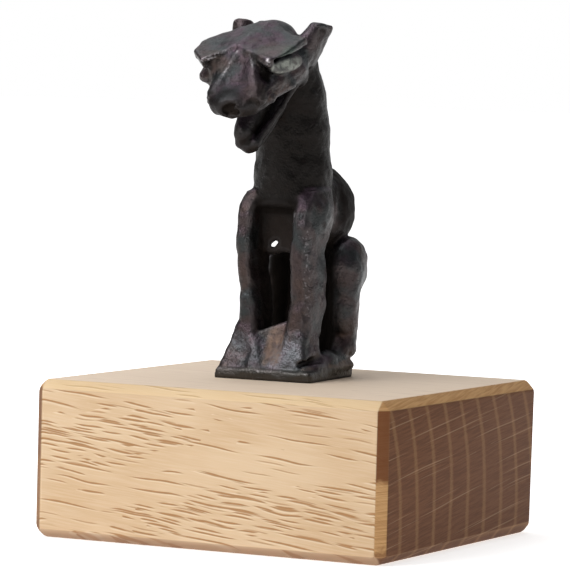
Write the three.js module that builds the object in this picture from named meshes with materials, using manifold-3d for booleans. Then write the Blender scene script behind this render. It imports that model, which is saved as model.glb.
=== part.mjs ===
// A small bronze beast, cast in one piece with its base plate, standing on a chamfered oak block.
// It sits upright on long flat hind feet, looks down over an open mouth, and faces -Y.
// Millimetres, +Z up. The origin is the centre of the block's underside.
import * as THREE from 'three';
import { mergeVertices } from 'three/addons/utils/BufferGeometryUtils.js';
import Module from 'manifold-3d';

const wasm = await Module();
wasm.setup();

// Oak plinth
const PLINTH_WIDTH = 61.4;
const PLINTH_DEPTH = 57.2;
const PLINTH_HEIGHT = 25;
const PLINTH_CHAMFER = 1.5;

// Base plate, cast with the beast
const PLATE_WIDTH = 17.2;
const PLATE_BACK_WIDTH = 14.4;
const PLATE_DEPTH = 18.4;
const PLATE_THICKNESS = 1.7;
const PLATE_EDGE = 0.4;
const PLATE_FROM_LEFT = 19.9;
const PLATE_FROM_FRONT = 22.6;

// Beast, from the plate's top to its crown. Its forms keep their shares of this height.
const BEAST_HEIGHT = 55.8;
const BEAST_SET_BACK = 0.5;
const DRAWN_HEIGHT = 55.8;
const DRAWN_LOW = [-11.5, -26.5, -2];
const DRAWN_HIGH = [11.5, 16.5, 57.5];

// Fineness of the beast's faceted skin
const SKIN_CELL = 0.6;
const SKIN_BLOCK = 4;
const CLEAR_OF_SURFACE = 1.5 * SKIN_BLOCK * SKIN_CELL;
const CLEAR_OF_CORNER = 0.04;
const SKIN_TRIANGLES = 8800;
const SLIVER_SIZE = 0.02;
const LARGEST_TURN = 0.2;
const EDGE_COST = 1e-4;

// Ways to combine forms. A form is a function of a place, negative inside.
function softLow(a, b, blend) {
  const near = Math.max(blend - Math.abs(a - b), 0) / blend;
  return Math.min(a, b) - near * near * blend / 4;
}

function join(blend, ...forms) {
  return (x, y, z) => forms.reduce((least, form) => softLow(least, form(x, y, z), blend), 1e3);
}

function meet(blend, ...forms) {
  return (x, y, z) => -forms.reduce((least, form) => softLow(least, -form(x, y, z), blend), 1e3);
}

function carve(blend, body, ...hollows) {
  return (x, y, z) => -hollows.reduce(
    (least, hollow) => softLow(least, hollow(x, y, z), blend),
    -body(x, y, z));
}

function bothSides(form) {
  return (x, y, z) => form(Math.abs(x), y, z);
}

function otherSide(form) {
  return (x, y, z) => form(-x, y, z);
}

// Simple forms
function ball([cx, cy, cz], [rx, ry, rz]) {
  return (x, y, z) => {
    const [px, py, pz] = [(x - cx) / rx, (y - cy) / ry, (z - cz) / rz];
    const reach = Math.hypot(px, py, pz);
    const steepness = Math.hypot(px / rx, py / ry, pz / rz);
    return steepness < 1e-9 ? -Math.min(rx, ry, rz) : reach * (reach - 1) / steepness;
  };
}

function limb([ax, ay, az], [bx, by, bz], startRadius, endRadius, [sx, sy, sz] = [1, 1, 1]) {
  const [dx, dy, dz] = [(bx - ax) / sx, (by - ay) / sy, (bz - az) / sz];
  const lengthSquared = dx * dx + dy * dy + dz * dz;
  const narrowest = Math.min(sx, sy, sz);
  return (x, y, z) => {
    const [px, py, pz] = [(x - ax) / sx, (y - ay) / sy, (z - az) / sz];
    const along = Math.min(Math.max((px * dx + py * dy + pz * dz) / lengthSquared, 0), 1);
    const off = Math.hypot(px - along * dx, py - along * dy, pz - along * dz);
    return narrowest * (off - startRadius - along * (endRadius - startRadius));
  };
}

function chain(blend, stations, stretch) {
  const links = stations.slice(1).map(([end, endRadius], i) => {
    const [start, startRadius] = stations[i];
    return limb(start, end, startRadius, endRadius, stretch);
  });
  return join(blend, ...links);
}

function face([nx, ny, nz], [px, py, pz]) {
  const size = Math.hypot(nx, ny, nz);
  return (x, y, z) => ((x - px) * nx + (y - py) * ny + (z - pz) * nz) / size;
}

// An upright member, squarish in plan, that runs smoothly through stations from its top to its foot.
function post(stations) {
  const [top, foot] = [stations[0].z, stations[stations.length - 1].z];
  const slope = (i, key) => {
    const [above, below] = [stations[Math.max(i - 1, 0)], stations[Math.min(i + 1, stations.length - 1)]];
    return (below[key] - above[key]) / (above.z - below.z);
  };
  return (x, y, z) => {
    const level = Math.min(Math.max(z, foot), top);
    const next = Math.max(stations.findIndex((station) => station.z <= level), 1);
    const [above, below] = [stations[next - 1], stations[next]];
    const drop = above.z - below.z;
    const t = (above.z - level) / drop;
    const ease = t * t * (3 - 2 * t);
    const at = (key) => above[key] + ease * (below[key] - above[key])
      + drop * t * (1 - t) * ((1 - t) * slope(next - 1, key) - t * slope(next, key));
    const [halfWidth, halfDepth] = [at('halfWidth'), at('halfDepth')];
    const [px, py] = [(x - at('x')) / halfWidth, (y - at('y')) / halfDepth];
    const side = ((px ** 4 + py ** 4) ** 0.25 - 1) * Math.min(halfWidth, halfDepth);
    return Math.max(side, z - top, foot - z);
  };
}

// Body. Places are in millimetres on a beast of DRAWN_HEIGHT, from the middle of the plate's top.
const neck = chain(1, [
  [[0, -0.4, 23], 6.1],
  [[0, -0.4, 31], 6.0],
  [[0, -0.7, 38], 5.8],
  [[0, -1.7, 43], 5.45],
  [[0, -3.7, 48], 5.1],
]);

const trunk = join(2,
  ball([0, 6.8, 25.3], [6.7, 7.9, 7.2]),
  ball([0, -1.2, 25], [5.4, 4.6, 5.0]));

const seat = limb([0, 8.8, 19], [0, 8.0, 1.5], 4.0, 4.3, [1, 0.9, 1]);

const shoulder = ball([5.0, -0.5, 24], [2.9, 5.6, 5.1]);

const leftLeg = post([
  { z: 28.5, x: 4.4, y: -1.8, halfWidth: 1.7, halfDepth: 2.4 },
  { z: 25.5, x: 4.8, y: -3.2, halfWidth: 2.1, halfDepth: 3.1 },
  { z: 18.6, x: 4.9, y: -3.9, halfWidth: 2.15, halfDepth: 3.1 },
  { z: 10, x: 4.8, y: -3.9, halfWidth: 2.05, halfDepth: 3.0 },
  { z: 3, x: 4.2, y: -4.3, halfWidth: 2.3, halfDepth: 3.2 },
]);

const rightLeg = post([
  { z: 28.5, x: -4.4, y: -1.8, halfWidth: 1.7, halfDepth: 2.4 },
  { z: 25.5, x: -4.9, y: -3.2, halfWidth: 2.1, halfDepth: 3.1 },
  { z: 18.6, x: -5.0, y: -3.9, halfWidth: 2.25, halfDepth: 3.1 },
  { z: 10, x: -4.3, y: -3.9, halfWidth: 1.9, halfDepth: 2.8 },
  { z: 3, x: -4.5, y: -4.3, halfWidth: 2.3, halfDepth: 3.2 },
]);

const frontPaw = meet(1.1,
  face([0, -0.94, 0.34], [0, -6.8, 7.0]),
  face([-0.935, 0, 0.355], [2.5, 0, 6]),
  face([0.968, 0, 0.25], [6.9, 0, 6]),
  face([0, -0.3, 1], [0, -6.5, 7.4]),
  face([0, 1, 0.3], [0, -1.8, 2]),
  face([0, -1, 0], [0, -9.4, 0]));

const pawRamp = meet(0.5,
  face([0, -0.72, 0.69], [0, -8.9, 0.7]),
  face([0, 1, 0.2], [0, -1.2, 6]),
  face([1, 0, 0], [2.2, 0, 0]),
  face([-1, 0, 0], [-2.2, 0, 0]),
  face([0, -1, 0], [0, -9.4, 0]));

const thigh = join(1.2,
  ball([5.7, 7.2, 16.2], [3.0, 5.0, 4.7]),
  limb([5.2, 5.0, 15.4], [4.4, 0.6, 16.2], 2.3, 1.5, [0.9, 1, 1]));

const shank = join(1,
  limb([6.2, 7.5, 14], [6.0, 6.8, 3.4], 1.95, 1.85, [1, 1.1, 1]),
  limb([6.0, 6.6, 3.0], [6.1, 4.6, 1.6], 1.9, 1.9, [0.9, 1, 1]));

const hindFoot = chain(0.8, [
  [[5.9, 6.0, 0.9], 1.8],
  [[6.5, -1.8, 1.6], 1.9],
  [[7.2, -6.0, 0.6], 1.2],
], [0.9, 1, 1]);

// A narrow gap runs from between the front legs, under the belly and out over the right thigh.
const bellyGap = limb([-1.5, -3.6, 19.7], [-8.6, 10.8, 18.9], 0.9, 1.0);

const flankHollow = limb([9.2, 1.4, 18.4], [4.2, 1.0, 19.4], 1.7, 1.2);

const shoulderGroove = chain(0.4, [
  [[6.6, 3.2, 31.4], 0.7],
  [[7.2, 4.4, 28.0], 0.9],
  [[7.4, 4.4, 24.0], 1.1],
  [[7.2, 2.8, 20.4], 1.3],
]);

const chestHollow = join(0.8,
  ball([0, -7.0, 22.6], [2.7, 3.0, 3.6]),
  limb([0, -6.5, 21], [0, -2.6, 15.6], 2.3, 2.2));

const pawCleft = limb([7.2, -7.6, 1.3], [8.1, -4.2, 2.8], 0.5, 0.75);

// Head. Its own frame leans down: f runs forward along the mouth, u runs up through the crown.
const HEAD_LEAN = THREE.MathUtils.degToRad(33);
const HEAD_PLACE = { y: -12, z: 47.3 };

function onHead(form) {
  const [lean, rise] = [Math.cos(HEAD_LEAN), Math.sin(HEAD_LEAN)];
  return (x, y, z) => {
    const [back, up] = [y - HEAD_PLACE.y, z - HEAD_PLACE.z];
    return form(x, -lean * back - rise * up, -rise * back + lean * up);
  };
}

const skull = join(1.5,
  meet(2,
    ball([0, -1.6, 1.2], [6.9, 8.6, 5.75]),
    face([0, -0.03, 1], [0, 4.3, 6.4])),
  ball([4.4, -1.6, -0.6], [2.4, 3.6, 2.8]));

// Each brow is a plate that juts forward and outward over its eye. The left one thins to an edge.
const browPlan = meet(0.8,
  face([-0.44, 0.9, 0], [0, 4.2, 0]),
  face([0.8, 0.6, 0], [6.2, 7.3, 0]),
  face([1, -0.2, 0.1], [8.7, 3.6, 6]),
  face([0, -1, 0], [0, -4.5, 0]),
  face([-1, 0, 0], [-0.5, 0, 0]));

const leftBrow = meet(0.4,
  browPlan,
  face([0.07, -0.184, 1], [0, 4.3, 6.85]),
  face([-0.033, 0.134, -1], [0, 0, 5.07]),
  face([1, -0.3, 0], [8.7, 1.0, 6]));

const rightBrow = otherSide(meet(0.6,
  browPlan,
  face([0.06, 0, 1], [0, 4.3, 6.85]),
  face([0.2, -0.4, 1], [0, -0.5, 7.4]),
  face([-0.06, 0, -1], [0, 4.3, 5.25]),
  face([0.72, -0.69, 0.1], [8.7, 1.0, 6])));

const muzzle = join(0.8,
  meet(1,
    face([0, 0.6, 0.8], [0, 4.3, 6.6]),
    face([0.815, 0.02, 0.578], [5.5, 3, 0.5]),
    face([0, -0.03, -1], [0, 0, 0]),
    ball([0, 4, 1], [6.3, 9, 7])),
  ball([0, 9.0, 1.7], [4.1, 4.1, 2.3]),
  ball([2.3, 9.4, 1.0], [2.3, 3.0, 1.7]),
  ball([4.3, 4.6, 1.9], [2.3, 3.4, 2.2]));

const noseRidge = limb([1.5, 3.9, 6.5], [2.6, 9.6, 3.5], 0.55, 0.7);

const eye = limb([6.5, 5.2, 4.2], [7.0, 1.4, 3.5], 1.45, 1.25);

const cheekHollow = ball([5.4, 7.4, 3.4], [1.4, 2.1, 1.4]);

const nostril = limb([1.2, 12.8, 2.1], [2.7, 12.1, 2.0], 0.35, 0.5);

const upperLip = chain(0.5, [
  [[0, 12.2, 0.1], 0.8],
  [[2.9, 11.1, 0.2], 0.8],
  [[5.2, 7.4, 0.4], 0.7],
  [[6.2, 1.2, 0.3], 0.8],
]);

// The lower jaw hangs down along the throat as a narrow scoop with a raised rim.
const jawRim = chain(0.6, [
  [[5.7, -1.8, -1.5], 0.9],
  [[3.9, 3.4, -4.3], 0.7],
  [[2.3, 7.2, -6.1], 0.7],
  [[1.4, 9.9, -7.1], 0.8],
  [[0, 10.4, -7.6], 0.9],
]);

const jawFloor = limb([0, 1.0, -5.6], [0, 9.4, -8.0], 2.7, 1.3, [1.2, 1, 0.7]);

const throat = limb([0, 1.5, -6.0], [0, -5.6, -7.0], 2.2, 3.6, [0.8, 1, 1]);

const cheek = limb([4.9, -1.4, -0.4], [3.8, -3.4, -3.0], 1.6, 1.8);

const mouth = meet(0.5,
  face([0, 0.03, 1], [0, 0, -0.4]),
  face([0, -0.42, -0.91], [0, 3.4, -4.9]),
  face([0, -1, 0], [0, 0.8, 0]));

const head = onHead(join(0.5,
  bothSides(carve(0.5,
    join(0.6, skull, muzzle, noseRidge, eye, upperLip, throat, jawFloor, cheek),
    mouth, nostril, cheekHollow)),
  leftBrow,
  rightBrow,
  bothSides(jawRim)));

// The left ear still stands, with a broken top. The right one is a stub.
const leftEar = carve(0.5,
  meet(0.5,
    join(1.2,
      limb([4.9, -8.6, 50.5], [6.2, -7.4, 54.7], 2.0, 1.2),
      limb([4.4, -5.2, 49.8], [7.3, -4.7, 54.8], 1.9, 1.0)),
    face([0.1, 0.2, 1], [6.5, -8.1, 55.3])),
  ball([8.5, -7.2, 53.6], [1.5, 1.7, 1.5]));

const rightEar = meet(0.5,
  limb([-4.8, -8.6, 50.5], [-5.6, -7.2, 54.6], 2.1, 1.7),
  face([-0.1, 0.2, 1], [-6.6, -7.4, 55.4]));

const beast = join(0.6,
  carve(0.6,
    join(1,
      neck,
      trunk,
      seat,
      leftLeg,
      rightLeg,
      bothSides(join(1, shoulder, thigh, shank))),
    chestHollow,
    bellyGap,
    bothSides(flankHollow),
    bothSides(shoulderGroove)),
  bothSides(carve(0.4, join(0.6, frontPaw, hindFoot), pawCleft)),
  pawRamp,
  head,
  leftEar,
  rightEar);

// Turns a form into a closed skin. Each cell of a grid is six tetrahedra, and each of them is crossed
// by one or two triangles, or by none. Blocks of cells far from the surface take one value for all.
const CELL_TETRAHEDRA = [[0, 1, 3, 7], [0, 3, 2, 7], [0, 2, 6, 7], [0, 6, 4, 7], [0, 4, 5, 7], [0, 5, 1, 7]];

function skin(form, low, high, cell) {
  const blockCells = SKIN_BLOCK ** 3;
  const counts = low.map((v, i) => Math.ceil((high[i] - v) / cell) + 1);
  const [nx, ny, nz] = counts;
  const values = new Float64Array(nx * ny * nz);
  const place = (index) => {
    const i = index % nx;
    const j = Math.floor(index / nx) % ny;
    const k = Math.floor(index / (nx * ny));
    return [low[0] + i * cell, low[1] + j * cell, low[2] + k * cell];
  };
  for (let k = 0; k < nz; k += SKIN_BLOCK) {
    for (let j = 0; j < ny; j += SKIN_BLOCK) {
      for (let i = 0; i < nx; i += SKIN_BLOCK) {
        const middle = form(...[i, j, k].map((v, axis) => low[axis] + (v + SKIN_BLOCK / 2) * cell));
        for (let c = 0; c < blockCells; c += 1) {
          const ii = i + (c % SKIN_BLOCK);
          const jj = j + (Math.floor(c / SKIN_BLOCK) % SKIN_BLOCK);
          const kk = k + Math.floor(c / SKIN_BLOCK ** 2);
          if (ii < nx && jj < ny && kk < nz) {
            const index = ii + nx * (jj + ny * kk);
            values[index] = Math.abs(middle) > CLEAR_OF_SURFACE ? middle : form(...place(index));
          }
        }
      }
    }
  }
  const points = [];
  const crossings = new Map();
  const crossing = (a, b) => {
    const key = Math.min(a, b) * values.length + Math.max(a, b);
    if (!crossings.has(key)) {
      const exact = values[a] / (values[a] - values[b]);
      const share = Math.min(Math.max(exact, CLEAR_OF_CORNER), 1 - CLEAR_OF_CORNER);
      const [pa, pb] = [place(a), place(b)];
      crossings.set(key, points.length);
      points.push(pa.map((v, i) => v + share * (pb[i] - v)));
    }
    return crossings.get(key);
  };
  const triangles = [];
  const emit = (a, b, c, inside, outside) => {
    const [pa, pb, pc] = [points[a], points[b], points[c]];
    const [ux, uy, uz] = [pb[0] - pa[0], pb[1] - pa[1], pb[2] - pa[2]];
    const [vx, vy, vz] = [pc[0] - pa[0], pc[1] - pa[1], pc[2] - pa[2]];
    const [from, to] = [place(inside), place(outside)];
    const turn = (uy * vz - uz * vy) * (to[0] - from[0])
      + (uz * vx - ux * vz) * (to[1] - from[1])
      + (ux * vy - uy * vx) * (to[2] - from[2]);
    triangles.push(turn > 0 ? [a, b, c] : [a, c, b]);
  };
  for (let k = 0; k < nz - 1; k += 1) {
    for (let j = 0; j < ny - 1; j += 1) {
      for (let i = 0; i < nx - 1; i += 1) {
        const corner = i + nx * (j + ny * k);
        const nearCorners = [corner, corner + 1, corner + nx, corner + nx + 1];
        const corners = [...nearCorners, ...nearCorners.map((v) => v + nx * ny)];
        for (const tetrahedron of CELL_TETRAHEDRA) {
          const ends = tetrahedron.map((v) => corners[v]);
          const inside = ends.filter((v) => values[v] < 0);
          const outside = ends.filter((v) => values[v] >= 0);
          if (inside.length === 1 || inside.length === 3) {
            const [alone, others] = inside.length === 1 ? [inside[0], outside] : [outside[0], inside];
            emit(...others.map((v) => crossing(alone, v)), inside[0], outside[0]);
          } else if (inside.length === 2) {
            const ring = [[0, 0], [0, 1], [1, 1], [1, 0]].map(([p, q]) => crossing(inside[p], outside[q]));
            emit(ring[0], ring[1], ring[2], inside[0], outside[0]);
            emit(ring[0], ring[2], ring[3], inside[0], outside[0]);
          }
        }
      }
    }
  }
  return { points, triangles };
}

// Thins a skin by closing the edges that cost the shape least, and keeps it closed.
function thin({ points, triangles }, target) {
  const quadrics = points.map(() => new Float64Array(10));
  const around = points.map(() => new Set());
  const alive = triangles.map(() => true);
  const stamp = new Uint32Array(points.length);
  const normalOf = (a, b, c) => {
    const [ux, uy, uz] = [b[0] - a[0], b[1] - a[1], b[2] - a[2]];
    const [vx, vy, vz] = [c[0] - a[0], c[1] - a[1], c[2] - a[2]];
    return [uy * vz - uz * vy, uz * vx - ux * vz, ux * vy - uy * vx];
  };
  triangles.forEach((triangle, t) => {
    const [a, b, c] = triangle.map((v) => points[v]);
    const normal = normalOf(a, b, c);
    const area = Math.hypot(...normal);
    const [nx, ny, nz] = normal.map((v) => v / Math.max(area, 1e-12));
    const offset = -(nx * a[0] + ny * a[1] + nz * a[2]);
    const plane = [nx, ny, nz, offset];
    triangle.forEach((vertex) => {
      around[vertex].add(t);
      let slot = 0;
      for (let r = 0; r < 4; r += 1) {
        for (let c2 = r; c2 < 4; c2 += 1) {
          quadrics[vertex][slot] += area * plane[r] * plane[c2];
          slot += 1;
        }
      }
    });
  });
  const cost = (q, [x, y, z]) => q[0] * x * x + 2 * q[1] * x * y + 2 * q[2] * x * z + 2 * q[3] * x
    + q[4] * y * y + 2 * q[5] * y * z + 2 * q[6] * y + q[7] * z * z + 2 * q[8] * z + q[9];
  const best = (q, a, b) => {
    const middle = a.map((v, i) => (v + b[i]) / 2);
    const matrix = new THREE.Matrix3().set(q[0], q[1], q[2], q[1], q[4], q[5], q[2], q[5], q[7]);
    const size = Math.abs(q[0] * q[4] * q[7]);
    const choices = [a, b, middle];
    if (Math.abs(matrix.determinant()) > 1e-4 * size) {
      const solved = new THREE.Vector3(-q[3], -q[6], -q[8]).applyMatrix3(matrix.invert()).toArray();
      const drift = Math.hypot(...solved.map((v, i) => v - middle[i]));
      const span = Math.hypot(...a.map((v, i) => v - b[i]));
      if (drift < 1.5 * span) {
        choices.push(solved);
      }
    }
    return choices.reduce((least, choice) => (cost(q, choice) < cost(q, least) ? choice : least), middle);
  };
  const heap = [];
  const swap = (i, j) => {
    [heap[i], heap[j]] = [heap[j], heap[i]];
  };
  const push = (entry) => {
    heap.push(entry);
    let i = heap.length - 1;
    while (i > 0 && heap[(i - 1) >> 1].cost > heap[i].cost) {
      swap(i, (i - 1) >> 1);
      i = (i - 1) >> 1;
    }
  };
  const pop = () => {
    swap(0, heap.length - 1);
    const top = heap.pop();
    let i = 0;
    for (;;) {
      let least = i;
      for (const child of [2 * i + 1, 2 * i + 2]) {
        if (child < heap.length && heap[child].cost < heap[least].cost) {
          least = child;
        }
      }
      if (least === i) {
        return top;
      }
      swap(i, least);
      i = least;
    }
  };
  const neighbours = (vertex) => {
    const found = new Set();
    around[vertex].forEach((t) => triangles[t].forEach((v) => found.add(v)));
    found.delete(vertex);
    return found;
  };
  const offer = (a, b) => {
    const quadric = quadrics[a].map((v, i) => v + quadrics[b][i]);
    const place = best(quadric, points[a], points[b]);
    const span = Math.hypot(...points[a].map((v, i) => v - points[b][i]));
    push({ cost: cost(quadric, place) + EDGE_COST * span * span, a, b, place, stamps: [stamp[a], stamp[b]] });
  };
  points.forEach((_, a) => neighbours(a).forEach((b) => a < b && offer(a, b)));
  const staysFair = (moved, gone, place) => [...around[moved]].every((t) => {
    if (triangles[t].includes(gone)) {
      return true;
    }
    const before = triangles[t].map((v) => points[v]);
    const after = triangles[t].map((v) => (v === moved ? place : points[v]));
    const [n1, n2] = [normalOf(...before), normalOf(...after)];
    const dot = n1[0] * n2[0] + n1[1] * n2[1] + n1[2] * n2[2];
    const [size1, size2] = [Math.hypot(...n1), Math.hypot(...n2)];
    return dot > LARGEST_TURN * size1 * size2 && size2 > Math.min(size1, SLIVER_SIZE);
  });
  let remaining = triangles.length;
  while (remaining > target && heap.length > 0) {
    const { a, b, place, stamps } = pop();
    const current = stamps[0] === stamp[a] && stamps[1] === stamp[b];
    if (current) {
      const nearB = neighbours(b);
      const shared = [...neighbours(a)].filter((v) => nearB.has(v));
      if (shared.length === 2 && staysFair(a, b, place) && staysFair(b, a, place)) {
        points[a] = place;
        quadrics[a] = quadrics[a].map((v, i) => v + quadrics[b][i]);
        for (const t of around[b]) {
          if (triangles[t].includes(a)) {
            alive[t] = false;
            remaining -= 1;
            triangles[t].forEach((v) => v !== b && around[v].delete(t));
          } else {
            triangles[t] = triangles[t].map((v) => (v === b ? a : v));
            around[a].add(t);
          }
        }
        around[b] = new Set();
        stamp[a] += 1;
        stamp[b] += 1;
        neighbours(a).forEach((v) => offer(a, v));
      }
    }
  }
  return { points, triangles: triangles.filter((_, t) => alive[t]) };
}

// Between three.js geometries and solids that can be joined and cut
function toSolid(geometry) {
  const bare = geometry.clone();
  bare.deleteAttribute('normal');
  bare.deleteAttribute('uv');
  const merged = mergeVertices(bare, 1e-4);
  return new wasm.Manifold(new wasm.Mesh({
    numProp: 3,
    vertProperties: Float32Array.from(merged.attributes.position.array),
    triVerts: Uint32Array.from(merged.index.array),
  }));
}

function toGeometry(solid) {
  const mesh = solid.getMesh();
  const geometry = new THREE.BufferGeometry();
  geometry.setAttribute('position', new THREE.BufferAttribute(Float32Array.from(mesh.vertProperties), 3));
  geometry.setIndex(Array.from(mesh.triVerts));
  geometry.computeVertexNormals();
  return geometry;
}

// A flat block with every edge taken off at 45 degrees. Its underside is at z = 0.
function chamferedBlock(frontWidth, backWidth, depth, height, chamfer) {
  const halfDepth = depth / 2 - chamfer;
  const [frontHalf, backHalf] = [frontWidth / 2 - chamfer, backWidth / 2 - chamfer];
  const cut = chamfer * (Math.SQRT2 - 1);
  const outline = new THREE.Shape([
    new THREE.Vector2(-frontHalf + cut, -halfDepth),
    new THREE.Vector2(frontHalf - cut, -halfDepth),
    new THREE.Vector2(frontHalf, -halfDepth + cut),
    new THREE.Vector2(backHalf, halfDepth - cut),
    new THREE.Vector2(backHalf - cut, halfDepth),
    new THREE.Vector2(-backHalf + cut, halfDepth),
    new THREE.Vector2(-backHalf, halfDepth - cut),
    new THREE.Vector2(-frontHalf, -halfDepth + cut),
  ]);
  const geometry = new THREE.ExtrudeGeometry(outline, {
    depth: height - 2 * chamfer,
    bevelEnabled: true,
    bevelSegments: 1,
    bevelSize: chamfer,
    bevelThickness: chamfer,
  });
  return geometry.translate(0, 0, chamfer);
}

// The beast's forms reach a little way into the plate, so that the two become one casting.
function castFigure() {
  const share = BEAST_HEIGHT / DRAWN_HEIGHT;
  const sunk = PLATE_THICKNESS / 2 / share;
  const clipped = meet(0.01, beast, face([0, 0, -1], [0, 0, -sunk]));
  const fine = skin(clipped, DRAWN_LOW, DRAWN_HIGH, SKIN_CELL);
  const { points, triangles } = thin(fine, SKIN_TRIANGLES);
  const geometry = new THREE.BufferGeometry();
  geometry.setAttribute('position', new THREE.Float32BufferAttribute(points.flat(), 3));
  geometry.setIndex(triangles.flat());
  geometry.scale(share, share, share);
  geometry.translate(0, BEAST_SET_BACK, PLATE_THICKNESS);
  const plate = chamferedBlock(PLATE_WIDTH, PLATE_BACK_WIDTH, PLATE_DEPTH, PLATE_THICKNESS, PLATE_EDGE);
  return toGeometry(toSolid(geometry).add(toSolid(plate)));
}

const oak = new THREE.MeshStandardMaterial({ color: 0xc7a27a, roughness: 0.7, metalness: 0 });
const bronze = new THREE.MeshStandardMaterial({ color: 0x2f2826, roughness: 0.5, metalness: 0.6 });

const plinth = new THREE.Mesh(
  chamferedBlock(PLINTH_WIDTH, PLINTH_WIDTH, PLINTH_DEPTH, PLINTH_HEIGHT, PLINTH_CHAMFER),
  oak);
plinth.name = 'plinth';

const figure = new THREE.Mesh(castFigure(), bronze);
figure.name = 'figure';
figure.position.set(
  -PLINTH_WIDTH / 2 + PLATE_FROM_LEFT + PLATE_WIDTH / 2,
  -PLINTH_DEPTH / 2 + PLATE_FROM_FRONT + PLATE_DEPTH / 2,
  PLINTH_HEIGHT);

const group = new THREE.Group();
group.name = 'mythical_creature_figure';
group.add(plinth, figure);

export default group;
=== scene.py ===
import math

import bmesh
import bpy
import numpy as np
from mathutils import Matrix, Vector


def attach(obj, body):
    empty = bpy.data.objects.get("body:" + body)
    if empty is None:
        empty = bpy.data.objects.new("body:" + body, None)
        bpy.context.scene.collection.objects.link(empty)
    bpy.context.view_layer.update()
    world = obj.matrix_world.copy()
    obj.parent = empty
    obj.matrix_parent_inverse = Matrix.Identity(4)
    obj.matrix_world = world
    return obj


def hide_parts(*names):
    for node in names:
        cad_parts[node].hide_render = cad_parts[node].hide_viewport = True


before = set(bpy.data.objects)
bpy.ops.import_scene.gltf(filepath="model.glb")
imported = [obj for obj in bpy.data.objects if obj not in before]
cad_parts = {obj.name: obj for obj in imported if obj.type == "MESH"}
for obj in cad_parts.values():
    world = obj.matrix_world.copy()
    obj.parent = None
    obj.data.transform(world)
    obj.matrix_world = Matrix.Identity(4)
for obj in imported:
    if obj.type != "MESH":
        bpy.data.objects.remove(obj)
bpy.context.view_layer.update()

# Camera
# A long lens stands a little to the beast's left and just above the plinth's top, looking slightly down,
# so that the front, the beast's left side and a thin strip of the top show.
camera_right = Vector((0.89047, 0.45432, 0.02544))
camera_up = Vector((-0.04777, 0.03773, 0.99815))
camera_place = Vector((0.28609, -0.56555, 0.07514))
camera_turn = Matrix((camera_right, camera_up, camera_right.cross(camera_up))).transposed()
camera_data = bpy.data.cameras.new("camera")
camera_data.sensor_width = 36.0
camera_data.lens = 251.1
camera = bpy.data.objects.new("camera", camera_data)
camera.matrix_world = Matrix.Translation(camera_place) @ camera_turn.to_4x4()
bpy.context.scene.collection.objects.link(camera)
bpy.context.scene.camera = camera
bpy.context.scene.view_settings.view_transform = "Standard"

# Floor and light
# A pale seamless floor that glows and fades to white away from the plinth: its glow is painted light that
# washes out shadows on it. It lies in a room that is dim in front and paler behind. A large soft lamp
# hangs high at the front left, one above, and a weak one stands at the right.


class Link:
    """A socket of a material, so that shader maths reads as maths."""

    def __init__(self, tree, socket):
        self.tree = tree
        self.socket = socket

    def node(self, kind, out=0, sockets=None, **settings):
        """A new node of a kind: its settings first, then the values or links of its sockets."""
        made = self.tree.nodes.new(kind)
        for name, value in settings.items():
            setattr(made, name, value)
        for name, value in (sockets or {}).items():
            if isinstance(value, Link):
                self.tree.links.new(value.socket, made.inputs[name])
            else:
                made.inputs[name].default_value = value
        return Link(self.tree, made.outputs[out])

    def math(self, operation, *others):
        return self.node("ShaderNodeMath", 0, dict(enumerate((self, *others))), operation=operation)

    def __add__(self, other):
        return self.math("ADD", other)

    def __radd__(self, other):
        return self.math("ADD", other)

    def __sub__(self, other):
        return self.math("SUBTRACT", other)

    def __rsub__(self, other):
        return (self * -1.0).math("ADD", other)

    def __mul__(self, other):
        return self.math("MULTIPLY", other)

    def __rmul__(self, other):
        return self.math("MULTIPLY", other)

    def __truediv__(self, other):
        return self.math("DIVIDE", other)

    def __abs__(self):
        return self.math("ABSOLUTE")

    def rise(self, low, high):
        """0 below low, 1 above high, smooth between."""
        return self.node(
            "ShaderNodeMapRange", 0, {"Value": self, "From Min": low, "From Max": high},
            interpolation_type="SMOOTHSTEP")

    def parts(self):
        split = self.node("ShaderNodeSeparateXYZ", 0, {0: self}).socket.node
        return [Link(self.tree, out) for out in split.outputs]

    def joined(self, y, z):
        return self.node("ShaderNodeCombineXYZ", 0, {0: self, 1: y, 2: z})

    def noise(self, size, detail=2.0, roughness=0.5):
        """Soft noise of a feature size, in the units of this place."""
        return self.node(
            "ShaderNodeTexNoise", 0,
            {"Vector": self, "Scale": 1.0 / size, "Detail": detail, "Roughness": roughness})

    def tinted(self, start, end):
        """From one colour to another as this value goes from 0 to 1."""
        mix = self.tree.nodes.new("ShaderNodeMix")
        mix.data_type = "RGBA"
        colours = [s for s in mix.inputs if s.type == "RGBA"]
        self.tree.links.new(self.socket, mix.inputs[0])
        for socket, colour in zip(colours, (start, end)):
            if isinstance(colour, Link):
                self.tree.links.new(colour.socket, socket)
            else:
                socket.default_value = (*colour, 1.0)
        return Link(self.tree, next(s for s in mix.outputs if s.type == "RGBA"))


def new_material(name):
    """An empty material with its main shader, and its object coordinates in millimetres."""
    material = bpy.data.materials.new(name)
    material.use_nodes = True
    tree = material.node_tree
    shader = tree.nodes["Principled BSDF"]
    place = Link(tree, tree.nodes.new("ShaderNodeTexCoord").outputs["Object"])
    place = place.node("ShaderNodeVectorMath", 0, {0: place, "Scale": 1000.0}, operation="SCALE")
    return material, shader, place


FLOOR_REACH = 6.0
FLOOR_GREY = (0.86, 0.86, 0.86)
GLOW_NEAR = (0.68, 0.68, 0.68)
WHITE = (1.0, 1.0, 1.0)

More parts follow.
